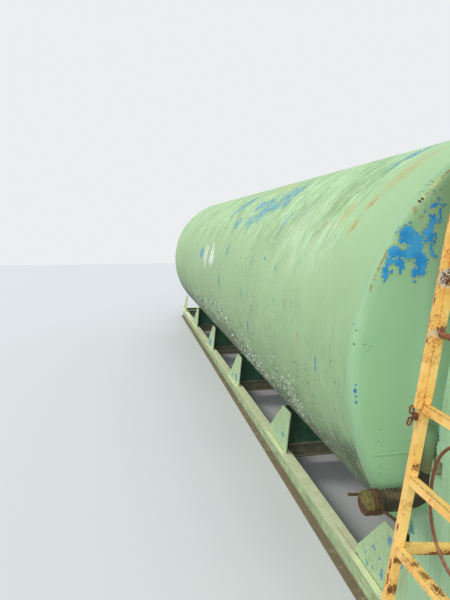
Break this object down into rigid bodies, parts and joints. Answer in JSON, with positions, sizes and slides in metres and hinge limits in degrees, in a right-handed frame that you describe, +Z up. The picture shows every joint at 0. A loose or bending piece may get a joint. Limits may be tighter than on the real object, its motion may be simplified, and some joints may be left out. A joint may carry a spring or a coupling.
{
  "type": "horizontal fuel tank",
  "caption": "Horizontal steel cylinder tank for diesel fuel, carried on saddles on a beam skid, with an end ladder, a sheltered pump bay and a capped fill line.",
  "frame": {"origin": "on the ground, under the middle of the near end beam of the skid", "axes": "+X across the skid to the right seen from the ladder end, +Y along the tank from the ladder end to the far end, +Z up"},
  "size_m": [3.0534, 14.25, 4.1526],
  "materials": {
    "bolt_steel": "rusted",
    "cable_sheath": "copper-brown sheath",
    "cap_metal": "dull yellow metal with rust",
    "coupler_metal": "dull brown metal",
    "fitting_paint": "green paint",
    "head_paint": "satin pale green paint, chipped to old blue",
    "hose_rubber": "dirty ribbed rubber",
    "ladder_paint": "orange-yellow paint with rust chips",
    "rusty_steel": "rusted, little paint left",
    "saddle_paint": "worn pale green paint",
    "shell_paint": "chalky pale green paint with streaks",
    "shelter_paint": "pale green paint, chipped at the edges",
    "skid_paint": "worn pale green paint"
  },
  "bodies": {
    "root": {"bonding_cable": "cable_sheath", "cable_clips": "coupler_metal", "cam_levers": "coupler_metal", "cross_beam_1": "skid_paint", "cross_beam_2": "skid_paint", "cross_beam_3": "skid_paint", "cross_beam_4": "skid_paint", "cross_beam_5": "skid_paint", "cross_beam_6": "skid_paint", "end_beam_far": "skid_paint", "end_beam_near": "skid_paint", "far_head": "head_paint", "fill_cap": "cap_metal", "fill_coupler": "coupler_metal", "fill_elbow": "fitting_paint", "fill_hose": "hose_rubber", "ladder_lug": "rusty_steel", "ladder_round_rung": "rusty_steel", "ladder_rungs": "ladder_paint", "ladder_side_bar": "ladder_paint", "ladder_stile_far": "ladder_paint", "ladder_stile_near": "ladder_paint", "ladder_struts": "ladder_paint", "manway_bolts": "bolt_steel", "manway_lid": "fitting_paint", "manway_neck": "fitting_paint", "near_head": "head_paint", "pump_deck": "shelter_paint", "rail_doubler_left": "skid_paint", "rail_doubler_right": "skid_paint", "saddle_pads": "saddle_paint", "saddle_web_1": "saddle_paint", "saddle_web_2": "saddle_paint", "saddle_web_3": "saddle_paint", "saddle_web_4": "saddle_paint", "saddle_web_5": "saddle_paint", "shelter_post_left": "shelter_paint", "shelter_post_right": "shelter_paint", "shelter_roof": "shelter_paint", "shelter_wall_left": "shelter_paint", "shelter_wall_right": "shelter_paint", "skid_rail_left": "skid_paint", "skid_rail_right": "skid_paint", "tank_shell": "shell_paint", "vent_pipe": "fitting_paint", "wall_cleat": "rusty_steel", "wing_gussets_left": "saddle_paint", "wing_gussets_right": "saddle_paint"}
  },
  "joints": []
}
